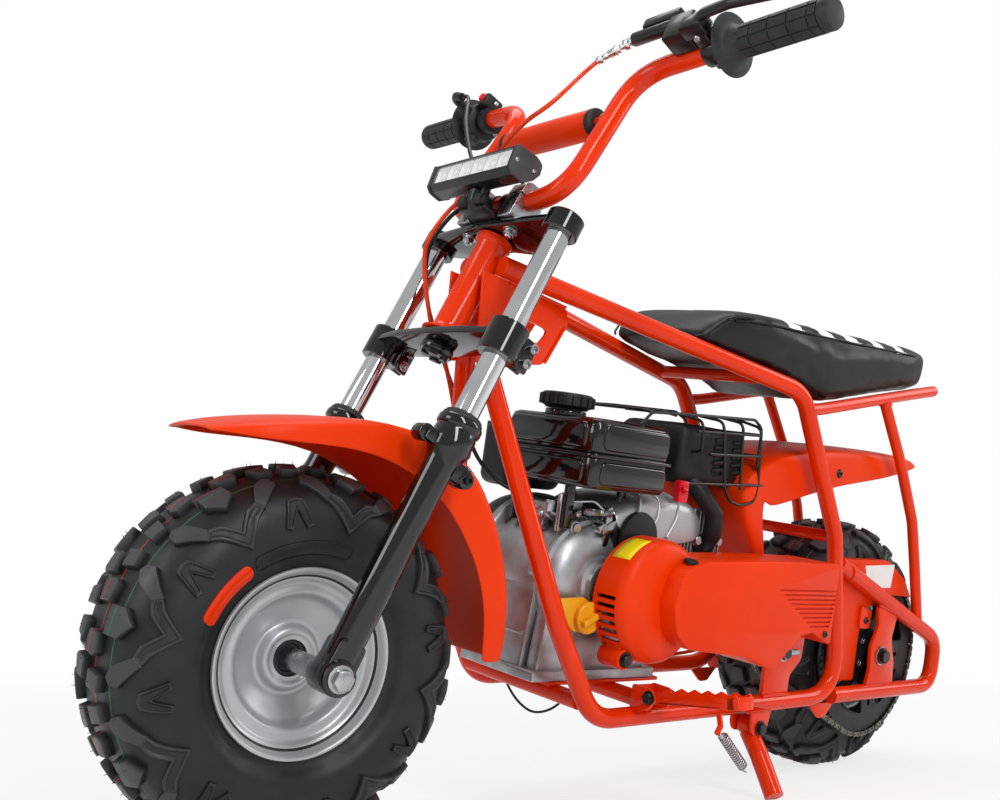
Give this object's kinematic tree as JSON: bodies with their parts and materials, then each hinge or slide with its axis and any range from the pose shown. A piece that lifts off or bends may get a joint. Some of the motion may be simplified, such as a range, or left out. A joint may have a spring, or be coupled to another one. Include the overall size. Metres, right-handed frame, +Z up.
{
  "type": "minibike",
  "caption": "Small off-road minibike with a bent-tube frame, open four-stroke engine, chain drive, telescopic fork, knobbly balloon tyres and a side stand.",
  "frame": {"origin": "middle of the footprint of the whole machine, on the ground it stands on, leaning on its side stand", "axes": "+X forward, +Y to the rider's left, +Z up"},
  "size_m": [1.2822, 0.712, 0.8795],
  "materials": {
    "aluminium": "die cast, satin",
    "bare_steel": "zinc plated",
    "black_gloss": "gloss",
    "black_heat_paint": "matt heat-proof paint",
    "black_plastic": "moulded, fine texture",
    "black_satin": "satin",
    "black_steel": "satin",
    "chain_steel": "oiled",
    "chrome": "polished",
    "frame_red": "gloss powder coat",
    "red_plastic": "moulded, semi-gloss",
    "rubber": "matt",
    "seat_vinyl": "grained vinyl",
    "silver_paint": "silver, satin",
    "tyre": "matt rubber",
    "yellow_plastic": "moulded"
  },
  "bodies": {
    "root": {"rear_axle": "bare_steel", "frame_loop_left": "frame_red", "rear_hoop_left": "frame_red", "seat_rail_left": "frame_red", "frame_loop_right": "frame_red", "rear_hoop_right": "frame_red", "seat_rail_right": "frame_red", "head_tube": "frame_red", "engine_plate": "frame_red", "seat_cross_tube": "frame_red", "rear_cross_tube": "frame_red", "engine_cross_tube": "frame_red", "footrest_bar": "frame_red", "crankcase": "aluminium", "cylinder": "aluminium", "recoil_cover": "black_plastic", "fuel_tank": "black_gloss", "fuel_cap": "black_plastic", "muffler": "black_heat_paint", "exhaust_pipe": "black_heat_paint", "air_cleaner": "black_plastic", "oil_dipstick": "yellow_plastic", "drive_cover": "red_plastic", "jackshaft": "bare_steel", "jackshaft_ear_left": "frame_red", "jackshaft_ear_right": "frame_red", "chain": "chain_steel", "chain_guard": "red_plastic", "rear_fender": "red_plastic", "seat": "seat_vinyl", "stand_bracket": "frame_red"},
    "steering": {"fork_slider_left": "black_gloss", "stanchion_left": "chrome", "fork_slider_right": "black_gloss", "stanchion_right": "chrome", "upper_clamp": "black_satin", "lower_clamp": "black_satin", "steering_stem": "bare_steel", "front_axle": "bare_steel", "handlebar": "frame_red", "crossbar_pad": "frame_red", "grip_left": "rubber", "grip_right": "rubber", "bar_clamp_right": "aluminium", "bar_clamp_left": "aluminium", "light_bar": "black_satin", "front_fender": "red_plastic"},
    "front_wheel": {"front_tyre": "tyre", "front_rim": "silver_paint"},
    "rear_wheel": {"rear_tyre": "tyre", "rear_rim": "silver_paint", "rear_sprocket": "black_steel", "brake_disc": "bare_steel"},
    "side_stand": {"side_stand": "frame_red"},
    "footpeg_left": {"footpeg_left": "frame_red"},
    "footpeg_right": {"footpeg_right": "frame_red"}
  },
  "joints": [
    {"name": "steering_turn", "type": "hinge", "parent": "root", "child": "steering", "pos_m": [0.46202, -0.10895, 0.17945], "axis": [-0.4106, 0.174, 0.8951], "range_deg": [-24.1, 35.9]},
    {"name": "front_wheel_spin", "type": "hinge", "parent": "steering", "child": "front_wheel", "pos_m": [0.46202, -0.10895, 0.17945], "axis": [0.0939, 0.9845, -0.1484], "continuous": true},
    {"name": "rear_wheel_spin", "type": "hinge", "parent": "root", "child": "rear_wheel", "pos_m": [-0.46198, -0.10895, 0.17878], "axis": [0.0001, 0.9816, -0.1908], "continuous": true},
    {"name": "side_stand_fold", "type": "hinge", "parent": "root", "child": "side_stand", "pos_m": [-0.14191, -0.00331, 0.0831], "axis": [-0.0004, 0.8684, 0.4959], "range_deg": [0, 78], "stiffness_Nm_per_rad": 0.6, "springref_deg": -57.3},
    {"name": "footpeg_left_fold", "type": "hinge", "parent": "root", "child": "footpeg_left", "pos_m": [0.04306, 0.01294, 0.12489], "axis": [1, 0, 0.0007], "range_deg": [0, 45]},
    {"name": "footpeg_right_fold", "type": "hinge", "parent": "root", "child": "footpeg_right", "pos_m": [0.04303, -0.24229, 0.1745], "axis": [-1, 0, -0.0007], "range_deg": [0, 45]}
  ]
}
